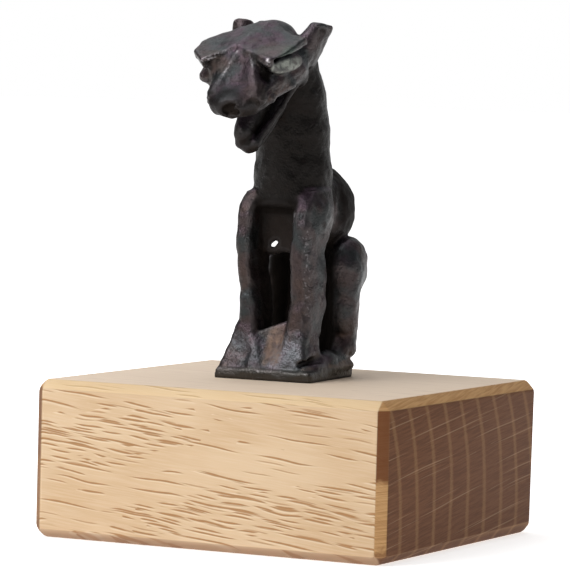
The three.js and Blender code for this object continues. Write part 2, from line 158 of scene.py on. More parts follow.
# The floor turns white between these distances from its middle, in millimetres.
FADE_START, FADE_END = 40.0, 300.0
floor_corners = [(FLOOR_REACH * x, FLOOR_REACH * y, 0.0) for x, y in ((-1, -1), (1, -1), (1, 1), (-1, 1))]
floor_mesh = bpy.data.meshes.new("floor")
floor_mesh.from_pydata(floor_corners, [], [(0, 1, 2, 3)])
floor = bpy.data.objects.new("floor", floor_mesh)
bpy.context.scene.collection.objects.link(floor)
floor_paper, floor_shader, floor_place = new_material("floor_paper")
floor_shader.inputs["Base Color"].default_value = (*FLOOR_GREY, 1.0)
floor_shader.inputs["Roughness"].default_value = 0.9
floor_away = floor_place.node("ShaderNodeVectorMath", 1, {0: floor_place}, operation="LENGTH")
# Painted light: the floor glows, less near the plinth and fully white further away.
floor_glow = floor_away.rise(FADE_START, FADE_END).tinted(GLOW_NEAR, WHITE)
floor_paper.node_tree.links.new(floor_glow.socket, floor_shader.inputs["Emission Color"])
floor_shader.inputs["Emission Strength"].default_value = 1.0
floor_mesh.materials.append(floor_paper)

DIM_ROOM = 0.07
PALER_BEHIND = 0.42
world = bpy.data.worlds.new("studio")
bpy.context.scene.world = world
world.use_nodes = True
surround = world.node_tree.nodes["Background"]
surround.inputs["Color"].default_value = (*WHITE, 1.0)
seen = Link(world.node_tree, world.node_tree.nodes.new("ShaderNodeLightPath").outputs["Is Camera Ray"])
heading = Link(world.node_tree, world.node_tree.nodes.new("ShaderNodeTexCoord").outputs["Generated"])
backdrop = heading.parts()[1].rise(0.25, 0.9) * PALER_BEHIND + DIM_ROOM
surround_strength = seen.math("MAXIMUM", backdrop)
world.node_tree.links.new(surround_strength.socket, surround.inputs["Strength"])

BEAST_CHEST = Vector((0.0, 0.0, 0.04))


def soft_lamp(name, towards, away, width, power):
    """A square soft box in a direction from the beast's chest, facing it."""
    data = bpy.data.lights.new(name, "AREA")
    data.shape = "SQUARE"
    data.size = width
    data.energy = power
    lamp = bpy.data.objects.new(name, data)
    direction = Vector(towards).normalized()
    lamp.location = BEAST_CHEST + direction * away
    lamp.rotation_mode = "QUATERNION"
    lamp.rotation_quaternion = direction.to_track_quat("Z", "Y")
    bpy.context.scene.collection.objects.link(lamp)


soft_lamp("key_lamp", (-0.40, -0.74, 0.60), 0.75, 0.42, 3.3)
soft_lamp("top_lamp", (-0.28, 0.05, 1.0), 0.65, 0.75, 2.8)
soft_lamp("right_lamp", (1.0, -0.15, 0.25), 0.8, 0.5, 0.3)

# Oak plinth
# One block of flat-sawn oak, planed and finely sanded, with every edge taken off at 45 degrees by hand.
# The long grain runs from left to right and falls slightly, and both sides show the end grain.
PLINTH_SIZE = Vector((0.0614, 0.0572, 0.025))
PLINTH_CHAMFER = 0.0015
PLINTH_EASED_EDGE = 0.00018
PLINTH_WORN_EDGE = 0.00055
CRISP_ANGLE = math.radians(30)
SMOOTH_ANGLE = math.radians(24)

# Edges that lie further left, further back or lower than these are worn rounder than the others.
WORN_LEFT = -0.0292
WORN_BACK = 0.0272
WORN_FOOT = 0.0014

block = bmesh.new()
bmesh.ops.create_cube(block, size=1.0)
for vertex in block.verts:
    vertex.co = Vector(a * b for a, b in zip(vertex.co, PLINTH_SIZE)) + Vector((0, 0, PLINTH_SIZE.z / 2))
bmesh.ops.bevel(block, geom=block.edges[:], offset=PLINTH_CHAMFER, segments=1, affect="EDGES")
middles = [(edge, (edge.verts[0].co + edge.verts[1].co) / 2) for edge in block.edges]
worn_edges = [edge for edge, m in middles if m.x < WORN_LEFT or m.y > WORN_BACK or m.z < WORN_FOOT]
bmesh.ops.bevel(block, geom=worn_edges, offset=PLINTH_WORN_EDGE, segments=4, profile=0.5, affect="EDGES")
inner_edges = [edge for edge in block.edges if len(edge.link_faces) == 2]
crisp_edges = [edge for edge in inner_edges if edge.calc_face_angle() > CRISP_ANGLE]
bmesh.ops.bevel(block, geom=crisp_edges, offset=PLINTH_EASED_EDGE, segments=2, profile=0.5, affect="EDGES")
bmesh.ops.recalc_face_normals(block, faces=block.faces[:])
low_corner = (-PLINTH_SIZE.x / 2, -PLINTH_SIZE.y / 2, 0)
high_corner = (PLINTH_SIZE.x / 2, PLINTH_SIZE.y / 2, PLINTH_SIZE.z)
for vertex in block.verts:
    vertex.co = Vector(min(max(a, low), high) for a, low, high in zip(vertex.co, low_corner, high_corner))
plinth_mesh = bpy.data.meshes.new("oak_plinth")
block.to_mesh(plinth_mesh)
block.free()
plinth_mesh.polygons.foreach_set("use_smooth", [True] * len(plinth_mesh.polygons))
plinth_mesh.set_sharp_from_angle(angle=SMOOTH_ANGLE)
oak_plinth = bpy.data.objects.new("oak_plinth", plinth_mesh)
bpy.context.scene.collection.objects.link(oak_plinth)

oak, oak_shader, place = new_material("oak")
x, y, z = place.parts()
facing = place.node("ShaderNodeNewGeometry", 1).parts()
facing_side = abs(facing[0])
upward = facing[2]

# The grain falls to the right. Growth rings stand across the block and bow towards the front at the top.
GRAIN_FALL = 0.095
GRAIN_SLANT = 0.02
RING_SPACING = 6.1
RING_BOW = 0.0150
BOW_LEVEL = 6.0
fall = z + x * GRAIN_FALL
slant = y + x * GRAIN_SLANT
waver = (place.noise(22.0, 1.0) - 0.5) * 3.0
bow = ((z - BOW_LEVEL) * (z - BOW_LEVEL)) * RING_BOW
ring_share = ((slant + bow + waver) / RING_SPACING).math("FRACT")
ring_fuzz = (place.noise(0.7) - 0.5) * 0.10
early_wood = 1.0 - (abs(ring_share - 0.5) + ring_fuzz).rise(0.02, 0.15)

# Long grain: soft fibres, and pores cut along their length. They show as thin brown dashes, which crowd
# in a high band at the left, in a low one further right, and in a few patches between.
fibres = (x / 7.0).joined(slant / 0.22, fall / 0.22).noise(1.0, 3.0, 0.6)
clouds = (x / 16.0).joined(slant / 9.0, fall / 5.0).noise(1.0, 2.0)
high_band = (1.0 - abs(z - x * 0.175 - 20.2).rise(1.8, 5.2)) * (1.0 - (x + z * 0.6).rise(3.0, 15.0))
low_band = (1.0 - abs(z - x * 0.12 - 5.6).rise(1.6, 5.0)) * x.rise(-20.0, -4.0)
patchy = (x / 16.0).joined(y / 12.0, fall / 2.8).noise(1.0, 1.0).rise(0.52, 0.70)
dense = high_band.math("MAXIMUM", low_band).math("MAXIMUM", patchy * 0.45)
wander = (x / 9.0).joined(y / 6.0, fall / 4.0).noise(1.0, 1.0) * 1.3
level = fall + slant * 0.7 + wander


def chance(row, column, start):
    """An even random value for each cell."""
    cell = row.joined(column, start)
    return cell.node("ShaderNodeTexWhiteNoise", 0, {"Vector": cell})


def dashes(along, across, length, pitch, thickness, start, share):
    """Thin spindles, at most one to a cell, and present in a share of the cells."""
    row_place = across / pitch + start
    row = row_place.math("FLOOR")
    column_place = along / length + chance(row, 0.0, start) * 9.0
    column = column_place.math("FLOOR")
    present = (share - chance(row, column, start + 0.5)).rise(0.0, 0.02)
    height = (row_place - row - 0.25 - chance(row, column, start + 0.7) * 0.5) * pitch
    end_fade = 1.0 - abs(column_place - column - 0.5).rise(0.12, 0.5)
    return (end_fade * thickness - abs(height)).rise(-0.03, thickness * 0.6) * present


def all_dashes(lift):
    """Short thick pores in the dense bands, and long thin ones everywhere."""
    across = level + lift
    short = dashes(x, across, 7.2, 0.95, 0.19, 3.0, dense * 0.8)
    shorter = dashes(x, across, 5.0, 0.8, 0.15, 21.0, dense * 0.55 + 0.03)
    long = dashes(x, across, 13.0, 2.1, 0.19, 47.0, dense * 0.2 + 0.42)
    faint = dashes(x, across, 7.0, 1.3, 0.12, 63.0, dense * 0.4 + 0.25)
    return short.math("MAXIMUM", shorter).math("MAXIMUM", long).math("MAXIMUM", faint * 0.6)


# Each pore has a pale painted highlight along one edge, a little to one side of it, so that it looks
# raised.
PORE_HIGHLIGHT_SHIFT = 0.24
STRAW, HONEY = (0.585, 0.40, 0.235), (0.66, 0.48, 0.305)
PALE_FIBRE = (0.70, 0.54, 0.375)
PORE_HIGHLIGHT_PALE = (0.84, 0.70, 0.52)
PORE_BROWN = (0.34, 0.16, 0.052)
pores = all_dashes(0.0)
pore_highlight = all_dashes(PORE_HIGHLIGHT_SHIFT)
long_grain = clouds.rise(0.3, 0.7).tinted(STRAW, HONEY)
long_grain = (fibres.rise(0.35, 0.75) * 0.5).tinted(long_grain, PALE_FIBRE)
long_grain = (pore_highlight * 0.4).tinted(long_grain, PORE_HIGHLIGHT_PALE)
long_grain = (pores * 0.85).tinted(long_grain, PORE_BROWN)

# End grain: dark, with pale ring lines and fine pale rays that rise slightly to the back.
RAY_RISE = 0.125
DARK_BROWN, WARM_BROWN = (0.112, 0.044, 0.019), (0.162, 0.069, 0.031)
SPECK_BROWN = (0.10, 0.045, 0.022)
RING_BROWN = (0.27, 0.142, 0.062)
RAY_TAN = (0.42, 0.27, 0.16)
ray_level = z - y * RAY_RISE + (x / 30.0).joined(y / 30.0, z / 12.0).noise(1.0, 1.0) * 1.2
hatch = (x / 9.0).joined(y / 4.5, ray_level / 0.20).noise(1.0, 2.0)
away = y + x * 0.3
long_rays = dashes(away, ray_level, 30.0, 2.6, 0.10, 5.0, 1.0 - clouds * 0.45)
short_rays = dashes(away, ray_level, 17.0, 1.4, 0.06, 31.0, 0.55 - clouds * 0.5)
rays = long_rays.math("MAXIMUM", short_rays * 0.6)
speckle = place.noise(0.24, 1.0)
end_grain = hatch.rise(0.3, 0.7).tinted(DARK_BROWN, WARM_BROWN)
end_grain = (speckle.rise(0.5, 0.72) * 0.35).tinted(end_grain, SPECK_BROWN)
end_grain = (early_wood * (speckle.rise(0.35, 0.6) * 0.3 + 0.35)).tinted(end_grain, RING_BROWN)
end_grain = (rays * 0.42).tinted(end_grain, RAY_TAN)

# Chamfers that cut across the fibres are golden. The upright ones are dark above mid height and at the
# foot, and brown on the left. The ones underneath are as dark as the end grain.
DARK_GOLD, PALE_GOLD = (0.42, 0.22, 0.085), (0.56, 0.33, 0.145)
CHAMFER_DARK = (0.135, 0.040, 0.011)
DULL_BROWN = (0.20, 0.10, 0.05)
end_share = facing_side.rise(0.35, 0.98)
edge_share = facing_side.rise(0.3, 0.6) * (1.0 - facing_side.rise(0.75, 0.95))
golden = hatch.rise(0.3, 0.7).tinted(DARK_GOLD, PALE_GOLD)
upright = 1.0 - abs(upward).rise(0.3, 0.6)
darker_above_middle = (z + (place.noise(2.0) - 0.5) * 2.0).rise(12.0, 13.6) * upright
darker_at_foot = (1.0 - (z + (place.noise(1.2) - 0.5) * 3.0).rise(1.8, 3.0)) * upright
golden = (darker_above_middle.math("MAXIMUM", darker_at_foot * 0.7) * 0.9).tinted(golden, CHAMFER_DARK)
golden = (upright * (1.0 - x.rise(-1.0, 1.0)) * 0.8).tinted(golden, DULL_BROWN)
golden = (1.0 - upward.rise(-0.6, -0.4)).tinted(golden, end_grain)

# The top's front and back chamfers are painted amber as a painted highlight, what faces down is painted
# brown as painted shade, and the top itself is painted cream as a painted reflection of the pale room.
CHAMFER_HIGHLIGHT_AMBER = (0.86, 0.64, 0.36)
UNDERSIDE_SHADE_BROWN = (0.24, 0.13, 0.075)
TOP_SHEEN_CREAM = (0.96, 0.82, 0.69)
top_chamfer = upward.rise(0.4, 0.6) * (1.0 - upward.rise(0.8, 0.95)) * (1.0 - facing_side.rise(0.2, 0.5))
underneath = (1.0 - upward.rise(-0.75, -0.4)) * (1.0 - facing_side.rise(0.3, 0.6))
long_grain = (top_chamfer * 0.45).tinted(long_grain, CHAMFER_HIGHLIGHT_AMBER)
oak_colour = end_share.tinted(long_grain, end_grain)
oak_colour = edge_share.tinted(oak_colour, golden)
oak_colour = (underneath * 0.75).tinted(oak_colour, UNDERSIDE_SHADE_BROWN)
oak_colour = (upward.rise(0.9, 0.99) * 0.6).tinted(oak_colour, TOP_SHEEN_CREAM)
oak.node_tree.links.new(oak_colour.socket, oak_shader.inputs["Base Color"])
oak_roughness = 0.52 + fibres * 0.15 + end_share * 0.15
oak.node_tree.links.new(oak_roughness.socket, oak_shader.inputs["Roughness"])
oak_shader.inputs["Specular IOR Level"].default_value = 0.22
oak_height = fibres * 0.2 - pores * (1.0 - end_share) * 1.2 - speckle * end_share * 0.4
oak_bump = oak_height.node(
    "ShaderNodeBump", 0, {"Height": oak_height, "Strength": 0.55, "Distance": 0.00008})
oak.node_tree.links.new(oak_bump.socket, oak_shader.inputs["Normal"])
plinth_mesh.materials.append(oak)
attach(oak_plinth, "root")
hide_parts("plinth")

# Bronze beast and its base plate
# One solid casting in dark patinated bronze, modelled by hand in wax: a seated beast with jutting brows,
# open jaws and flat hind feet on a thin plate. The plate rests on the oak. Worn ridges show lighter metal,
# and painted glints lie along some of them.

# All its sizes are in millimetres, from a point on the plate's top that lies behind the plate's middle.
# The casting is sculpted on a grid of small cells between two corners.
BEAST_CELL = 0.27
BEAST_LOW = np.array((-11.4, -26.6, -1.95))
BEAST_HIGH = np.array((11.4, 16.6, 57.4))
PLATE_TOP_ABOVE_FLOOR = 26.7
PLATE_MIDDLE = (-2.2, 3.2)
BEAST_SET_BACK = 0.5


def soft_low(a, b, blend):
    """The lesser of two depths, rounded where they are nearly the same."""
    near = np.maximum(blend - np.abs(a - b), 0.0) / blend
    return np.minimum(a, b) - near * near * blend / 4


def join(blend, *forms):
    """All the forms together, with a soft fillet between them."""
    def form(x, y, z):
        least = forms[0](x, y, z)
        for other in forms[1:]:
            least = soft_low(least, other(x, y, z), blend)
        return least
    return form


def meet(blend, *forms):
    """What lies within every form, with softened edges."""
    def form(x, y, z):
        most = -forms[0](x, y, z)
        for other in forms[1:]:
            most = soft_low(most, -other(x, y, z), blend)
        return -most
    return form


def carve(blend, body, *hollows):
    """A body without its hollows, with softened rims."""
    def form(x, y, z):
        most = -body(x, y, z)
        for hollow in hollows:
            most = soft_low(most, hollow(x, y, z), blend)
        return -most
    return form


def both_sides(form):
    """The left half of a form, and its mirror image on the right."""
    return lambda x, y, z: form(np.abs(x), y, z)


def other_side(form):
    """A form mirrored from left to right."""
    return lambda x, y, z: form(-x, y, z)


def ball(middle, radii):
    """A ball with its own radius along each axis."""
    def form(x, y, z):
        px, py, pz = [(v - c) / r for v, c, r in zip((x, y, z), middle, radii)]
        reach = np.sqrt(px * px + py * py + pz * pz)
        steepness = np.sqrt((px / radii[0]) ** 2 + (py / radii[1]) ** 2 + (pz / radii[2]) ** 2)
        return reach * (reach - 1) / np.maximum(steepness, 1e-9)
    return form


def limb(start, end, start_radius, end_radius, stretch=(1, 1, 1)):
    """A round bar with two radii and rounded ends."""
    run = [(b - a) / s for a, b, s in zip(start, end, stretch)]
    length_squared = sum(v * v for v in run)

    def form(x, y, z):
        px, py, pz = [(v - a) / s for v, a, s in zip((x, y, z), start, stretch)]
        along = np.clip((px * run[0] + py * run[1] + pz * run[2]) / length_squared, 0, 1)
        off = np.sqrt((px - along * run[0]) ** 2 + (py - along * run[1]) ** 2 + (pz - along * run[2]) ** 2)
        return min(stretch) * (off - start_radius - along * (end_radius - start_radius))
    return form


def chain(blend, stations, stretch=(1, 1, 1)):
    """Bars one after another through stations of (place, radius)."""
    links = zip(stations, stations[1:])
    return join(blend, *[limb(a, b, ra, rb, stretch) for (a, ra), (b, rb) in links])


def face(normal, point):
    """All that lies behind a plane through a point."""
    size = math.hypot(*normal)

    def form(x, y, z):
        return sum((v - p) * (n / size) for v, p, n in zip((x, y, z), point, normal))
    return form


def post(stations):
    """An upright member, squarish in plan, through stations of (z, x, y, half width, half depth)."""
    rows = np.array(sorted(stations))
    levels, shapes = rows[:, 0], rows[:, 1:]
    ends = np.arange(len(levels))
    after = np.minimum(ends + 1, len(levels) - 1)
    before = np.maximum(ends - 1, 0)
    slopes = (shapes[after] - shapes[before]) / (levels[after] - levels[before])[:, None]

    def form(x, y, z):
        level = np.clip(z, levels[0], levels[-1])
        lower = np.clip(np.searchsorted(levels, level, side="right") - 1, 0, len(levels) - 2)
        span = (levels[lower + 1] - levels[lower])[..., None]
        t = (level[..., None] - levels[lower][..., None]) / span
        shape = shapes[lower] + t * t * (3 - 2 * t) * (shapes[lower + 1] - shapes[lower])
        shape = shape + span * t * (1 - t) * ((1 - t) * slopes[lower] - t * slopes[lower + 1])
        cx, cy, half_width, half_depth = [shape[..., i] for i in range(4)]
        px, py = (x - cx) / half_width, (y - cy) / half_depth
        side = ((px ** 4 + py ** 4) ** 0.25 - 1) * np.minimum(half_width, half_depth)
        return np.maximum(side, np.maximum(z - levels[-1], levels[0] - z))
    return form


neck = chain(1, [
    ((0, -0.4, 23), 6.1), ((0, -0.4, 31), 6.0), ((0, -0.7, 38), 5.8), ((0, -1.7, 43), 5.45),
    ((0, -3.7, 48), 5.1)])
trunk = join(2, ball((0, 6.8, 25.3), (6.7, 7.9, 7.2)), ball((0, -1.2, 25), (5.4, 4.6, 5.0)))
seat = limb((0, 8.8, 19), (0, 8.0, 1.5), 4.0, 4.3, (1, 0.9, 1))
shoulder = ball((4.7, -1.6, 24.8), (2.7, 4.3, 4.3))
left_leg = post([
    (28.5, 4.9, -1.8, 1.5, 2.8), (25.5, 4.95, -3.0, 1.75, 3.7), (21.5, 4.75, -3.3, 1.75, 3.9),
    (17.5, 4.6, -3.4, 1.8, 3.9), (12.5, 4.8, -3.4, 1.9, 3.8), (9, 4.7, -3.5, 2.0, 3.7),
    (3, 4.2, -4.9, 2.1, 2.7)])
right_leg = post([
    (27.9, -5.0, -1.8, 1.3, 2.8), (25.5, -5.3, -3.0, 1.5, 3.7), (21, -5.45, -3.3, 1.45, 3.9),
    (16.8, -5.2, -3.4, 1.45, 3.9), (12.2, -4.65, -3.4, 1.4, 3.8), (8.5, -4.4, -3.5, 1.6, 3.7),
    (3, -4.6, -4.0, 2.1, 3.5)])
paw_end = face((0, -1, 0), (0, -9.4, 0))


def paw(outer_side):
    """A front paw, a blunt wedge, of which only the outer side is its own."""
    return meet(
        1.1, face((0, -0.94, 0.34), (0, -6.8, 7.0)), face((-0.935, 0, 0.355), (2.5, 0, 6)), outer_side,
        face((0, -0.3, 1), (0, -6.5, 7.4)), face((0, 1, 0.3), (0, -1.8, 2)), paw_end)


left_paw = paw(face((0.985, 0, 0.17), (6.35, 0, 6)))
right_paw = other_side(paw(face((0.955, 0, 0.30), (6.7, 0, 6))))
paw_ramp = meet(
    0.5, face((0.12, -0.90, 0.43), (1.0, -9.0, 0.3)), face((-0.5, 0.5, 1), (2.0, -5.6, 7.9)),
    face((0, 1, 0), (0, -1.2, 0)), face((1, 0, 0.1), (2.6, 0, 5)), face((-1, 0, 0.1), (-2.4, 0, 5)),
    paw_end)
thigh = ball((5.9, 8.4, 16.2), (2.8, 4.7, 4.7))
shank = join(
    1.4, limb((6.2, 8.0, 16), (6.1, 7.4, 3.4), 2.2, 1.85, (1, 1.2, 1)),
    limb((6.0, 6.4, 15.5), (6.1, 6.4, 7), 2.4, 1.9),
    limb((6.0, 6.6, 3.0), (6.1, 4.6, 1.6), 1.9, 1.9, (0.9, 1, 1)))
hind_foot = chain(
    0.8, [((5.9, 6.0, 0.9), 1.8), ((6.4, 0.2, 1.1), 1.7), ((6.9, -5.4, 0.4), 1.2)], (0.9, 1, 1))
hind_toe = limb((7.0, -8.6, 0.0), (7.6, 6.2, 0.4), 0.5, 0.85)
belly_gap = join(
    0.2, limb((-1.6, -3.6, 19.65), (-8.7, 10.8, 18.75), 0.40, 0.55),
    limb((-1.2, -3.45, 20.1), (-8.3, 10.95, 19.2), 0.36, 0.5))
flank_hollow = limb((9.2, 1.4, 18.4), (4.2, 1.0, 19.4), 1.7, 1.2)
shoulder_groove = chain(0.4, [
    ((6.5, 3.4, 31.4), 0.7), ((7.0, 4.6, 28.0), 1.1), ((7.2, 4.5, 24.0), 1.4), ((7.0, 3.0, 20.4), 1.5)])
chest_hollow = meet(
    1.3, face((-1, 0, 0), (-4.3, 0, 0)), face((1, 0, 0), (3.6, 0, 0)), face((0, 0.3, 1), (0, -5.5, 25.8)),
    face((0, 1, 0.12), (0, -3.2, 20)), face((0, 0, -1), (0, 0, 12)))
belly_hollow = limb((-0.4, -5, 15.8), (-0.2, 3.6, 16.2), 2.7, 2.5, (1.35, 1, 1))
paw_cleft = limb((6.2, -9.0, 0.95), (7.7, -3.8, 1.95), 0.45, 0.8)

# The head is modelled in its own frame, which leans down: f runs forward along the mouth, u up.
HEAD_LEAN = math.radians(33)
HEAD_Y, HEAD_Z = -12, 47.3


def in_head(y, z):
    """Where a place lies in the head's own frame."""
    back, up = y - HEAD_Y, z - HEAD_Z
    lean, rise = math.cos(HEAD_LEAN), math.sin(HEAD_LEAN)
    return -lean * back - rise * up, -rise * back + lean * up


def on_head(form):
    """A form of the head in its place on the body."""
    return lambda x, y, z: form(x, *in_head(y, z))


def sloped(form, rise, start):
    """A form of the head whose middle rises along f."""
    return lambda x, f, u: form(x, f, u - rise * (f - start))


crown = face((0, -0.05, 1), (0, 4.3, 6.85))
skull = join(
    1.5, meet(1, ball((-0.1, -1.4, 1.2), (5.8, 8.0, 5.75)), crown),
    ball((4.4, -1.6, -0.6), (2.4, 3.6, 2.8)), ball((0.8, 1.4, 4.3), (3.6, 3.4, 2.65)))
forehead = meet(
    0.8, crown, face((0.37, 0, 1), (1.2, 4.3, 6.85)), face((0, 0, -1), (0, 0, 5.0)),
    face((0, 1, 0), (0, 3.4, 0)), face((0, -1, 0), (0, -2.5, 0)), face((1, 0, 0), (5, 0, 0)),
    face((-1, 0, 0), (-3.5, 0, 0)))
left_brow = join(
    0.4, meet(
        0.35, face((-0.65, 1, 0), (0, 3.6, 0)), face((0.85, 0.53, 0), (6.1, 7.4, 0)),
        face((1, 0.12, 0), (7.95, 3, 0)), face((0.35, -1, 0), (7.5, -1.9, 0)),
        face((-1, 0, 0), (-0.8, 0, 0)), face((0.06, -0.12, 1), (0, 4.3, 6.85)),
        face((0, 0.27, -1), (7.2, 3.0, 5.45))),
    limb((2.6, 4.9, 6.0), (5.7, 6.7, 6.1), 0.55, 0.85))
right_brow = other_side(meet(
    0.5, face((-1, 1, 0), (0, 2.1, 0)), face((1, 1, 0), (5.7, 7.5, 0)),
    face((1, -0.08, 0.1), (8.65, 3.6, 6)), face((0, -1, 0), (0, -4.5, 0)),
    face((-1, 0, 0), (-0.8, 0, 0)), face((0.03, -0.05, 1), (0, 4.3, 6.85)),
    face((0.2, -0.4, 1), (0, -0.5, 7.65)), face((-0.06, 0, -1), (0, 4.3, 5.25)),
    face((0.72, -0.69, 0.1), (8.9, 1.0, 6))))
muzzle = join(
    0.8, meet(
        1, face((0, 0.6, 0.8), (0, 4.3, 6.1)), face((0.815, 0.02, 0.578), (5.2, 3, 0.5)),
        face((0, -0.03, -1), (0, 0, 0)), ball((0, 4, 1), (6.3, 9, 7))),
    ball((0, 9.4, 0.75), (4.1, 4.0, 2.2)), ball((2.3, 9.4, 0.8), (2.3, 3.0, 1.7)),
    limb((2.4, 5.2, 4.2), (3.2, 9.4, 1.6), 1.5, 1.5),
    ball((4.0, 4.6, 1.2), (2.2, 3.6, 1.9)), limb((4.9, 4.0, 0.3), (5.0, -1.0, -0.3), 1.2, 1.5))
nose_side = face((0.85, -0.106, 0.45), (1.05, 4.4, 6.6))
nose = carve(
    0.15, meet(
        0.15, face((0, 0.6, 0.8), (0, 4.3, 6.75)), nose_side, face((0, 1, 0), (0, 10.4, 0)),
        face((0, 0, -1), (0, 0, 1)), face((0, 0.1, 1), (0, 4.3, 6.6)), face((0, -1, 0), (0, 3.0, 0))),
    limb((0, 5.3, 8.1), (0, 10.9, 6.2), 1.8, 3.8))
NOSE_RIGHT_OF_MIDDLE = 0.45
EYE_SLOPE, EYE_START = 0.34, 2.9
left_eye = meet(
    0.4, sloped(ball((6.0, 2.7, 3.4), (2.1, 4.0, 1.5)), EYE_SLOPE, EYE_START),
    face((0.93, 0.12, 0.34), (7.35, 2.9, 3.6)))
right_eye = other_side(join(
    1, ball((6.2, 4.5, 2.6), (1.85, 2.5, 1.15)), ball((4.2, 4.7, 3.2), (2.1, 2.8, 2.3))))
left_eye_socket = limb((6.0, 7.9, 4.6), (4.6, 6.4, 3.6), 1.2, 1.3)
below_right_brow = limb((-1.4, 4.4, 5.0), (-4.2, 5.4, 4.4), 1.4, 1.2)
upper_lip = chain(0.5, [
    ((0, 11.9, -0.5), 0.7), ((2.9, 10.8, -0.2), 0.7), ((5.0, 7.6, 0.1), 0.6), ((6.0, 2.2, -0.9), 0.5),
    ((5.6, -1.5, -1.3), 0.5)])
nostrils = ball((0.5, 13.1, 1.1), (1.6, 1.3, 1.4))
nostril_fold = limb((1.5, 12.7, 1.5), (3.0, 12.0, 0.8), 0.3, 0.38)
jaw_rim = chain(0.6, [
    ((5.5, -1.8, -1.6), 0.6), ((3.8, 3.4, -4.4), 0.45), ((2.2, 7.2, -6.2), 0.45), ((1.4, 9.8, -7.1), 0.7),
    ((0, 10.2, -7.6), 0.9)])
jaw_floor = limb((0, 1.0, -5.6), (0, 9.4, -8.0), 2.7, 1.3, (1.2, 1, 0.7))
tongue = limb((-0.8, 2.0, -3.6), (-0.65, 9.1, -5.7), 2.3, 1.6, (1, 1, 1.15))
throat = limb((0, 1.5, -6.0), (0, -5.6, -7.0), 2.2, 3.6, (0.8, 1, 1))
cheek = limb((4.9, -1.4, -0.4), (3.8, -3.4, -3.0), 1.6, 1.8)
mouth = meet(
    0.5, face((0, 0.03, 1), (0, 0, -0.4)), face((0, -0.42, -0.91), (0, 3.4, -4.9)),
    face((0, -1, 0), (0, 0.8, 0)))
mouth_side = carve(0.4, join(0.5, skull, muzzle, throat, jaw_floor, cheek), mouth)
face_forms = carve(0.4, both_sides(mouth_side), nostrils, left_eye_socket)
eyes_and_face = join(0.7, face_forms, left_eye, right_eye, below_right_brow)
head = on_head(join(
    0.4, join(
        0.8, join(1.0, eyes_and_face, forehead, left_brow, right_brow),
        lambda x, f, u: both_sides(nose)(x - NOSE_RIGHT_OF_MIDDLE, f, u)),
    join(0.9, both_sides(jaw_rim), tongue), both_sides(upper_lip), nostril_fold))
left_ear = carve(
    0.5, meet(
        0.4, join(1.2, limb((4.9, -8.4, 50.3), (6.8, -6.9, 54.5), 1.9, 1.0),
                  limb((4.4, -5.2, 49.8), (7.5, -4.7, 54.6), 1.9, 1.1),
                  limb((4.8, -6.8, 50.5), (6.9, -6.1, 54.4), 2.0, 1.3)),
        face((0.05, 0.1, 1), (6.5, -6.5, 55.15))),
    ball((8.9, -7.6, 53.2), (1.5, 1.5, 1.6)))
right_ear = meet(
    0.5, limb((-5.1, -8.6, 50.5), (-6.0, -7.2, 54.6), 2.1, 1.7), face((-0.1, 0.2, 1), (-6.6, -7.4, 55.4)))

# The plate is a little narrower behind than in front, and lies flat on the oak.
PLATE_FRONT_WIDTH = 17.2
PLATE_BACK_WIDTH = 14.4
PLATE_DEPTH = 18.4
PLATE_THICKNESS = 1.7
plate_front = -PLATE_DEPTH / 2 - BEAST_SET_BACK
plate_back = PLATE_DEPTH / 2 - BEAST_SET_BACK
plate_side = (PLATE_DEPTH, (PLATE_FRONT_WIDTH - PLATE_BACK_WIDTH) / 2, 0)
plate = meet(
    0.5, face((0, -1, 0), (0, plate_front, 0)), face((0, 1, 0), (0, plate_back, 0)),
    both_sides(face(plate_side, (PLATE_FRONT_WIDTH / 2, plate_front, 0))), face((0, 0, 1), (0, 0, 0.0)),
    face((0, 0, -1), (0, 0, -PLATE_THICKNESS)))

chest = carve(0.5, join(1, neck, trunk, both_sides(shoulder)), chest_hollow)
beast = join(
    0.6, carve(
        0.6, join(1, chest, seat, left_leg, right_leg, both_sides(join(1, thigh, shank))),
        belly_hollow, both_sides(flank_hollow), both_sides(shoulder_groove)),
    carve(0.4, join(0.6, left_paw, hind_foot), paw_cleft), join(0.6, right_paw, other_side(hind_foot)),
    both_sides(hind_toe), paw_ramp, head, left_ear, right_ear)
beast = carve(0.3, beast, belly_gap)
SUNK_INTO_PLATE = 1.5
casting = join(0.4, meet(0.2, beast, face((0, 0, -1), (0, 0, -SUNK_INTO_PLATE))), plate)

counts = np.ceil((BEAST_HIGH - BEAST_LOW) / BEAST_CELL).astype(int) + 1
ticks = [low + BEAST_CELL * np.arange(count) for low, count in zip(BEAST_LOW, counts)]
depth = casting(*np.meshgrid(*ticks, indexing="ij", sparse=True))
DEPTH_LIMIT = 4.0
depth = np.clip(np.broadcast_to(depth, counts), -DEPTH_LIMIT, DEPTH_LIMIT)


